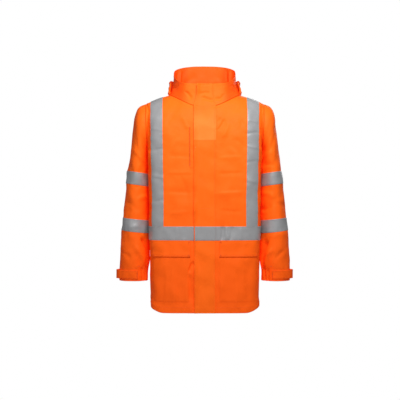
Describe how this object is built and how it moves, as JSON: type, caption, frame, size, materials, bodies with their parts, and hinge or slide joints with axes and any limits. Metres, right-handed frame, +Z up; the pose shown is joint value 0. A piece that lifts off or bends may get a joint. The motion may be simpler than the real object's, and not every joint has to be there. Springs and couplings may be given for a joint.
{
  "type": "hi-vis work jacket",
  "caption": "Hip-length work jacket with stand collar, folded-down hood, storm flap, reflective tapes and flapped pockets, filled out as worn.",
  "frame": {"origin": "middle of the neck opening, at the height where the shoulder seams meet the collar", "axes": "+Z up along the body, from hem to collar; -Y is the way the jacket faces; +X is the wearer's left side"},
  "size_m": [0.692, 0.3501, 0.97],
  "materials": {
    "orange_cloth": "matt coated weave, fluorescent",
    "reflective_tape": "fine glass-bead silver, sewn on",
    "zip_tape": "matt woven"
  },
  "bodies": {
    "root": {"front_left": "orange_cloth", "front_right": "orange_cloth", "back": "orange_cloth", "sleeve_left": "orange_cloth", "sleeve_right": "orange_cloth", "collar_outer": "orange_cloth", "collar_inner": "orange_cloth", "hood": "orange_cloth", "storm_flap": "orange_cloth", "front_zip": "zip_tape", "pocket_left": "orange_cloth", "pocket_right": "orange_cloth", "pocket_flap_left": "orange_cloth", "pocket_flap_right": "orange_cloth", "chest_welt": "orange_cloth", "cuff_strap_left": "orange_cloth", "cuff_strap_right": "orange_cloth", "brace_tape_left": "reflective_tape", "brace_tape_right": "reflective_tape", "waist_tape_left": "reflective_tape", "waist_tape_right": "reflective_tape", "waist_tape_back": "reflective_tape", "waist_tape_flap": "reflective_tape", "sleeve_tape_upper_left": "reflective_tape", "sleeve_tape_upper_right": "reflective_tape", "sleeve_tape_lower_left": "reflective_tape", "sleeve_tape_lower_right": "reflective_tape"}
  },
  "joints": []
}
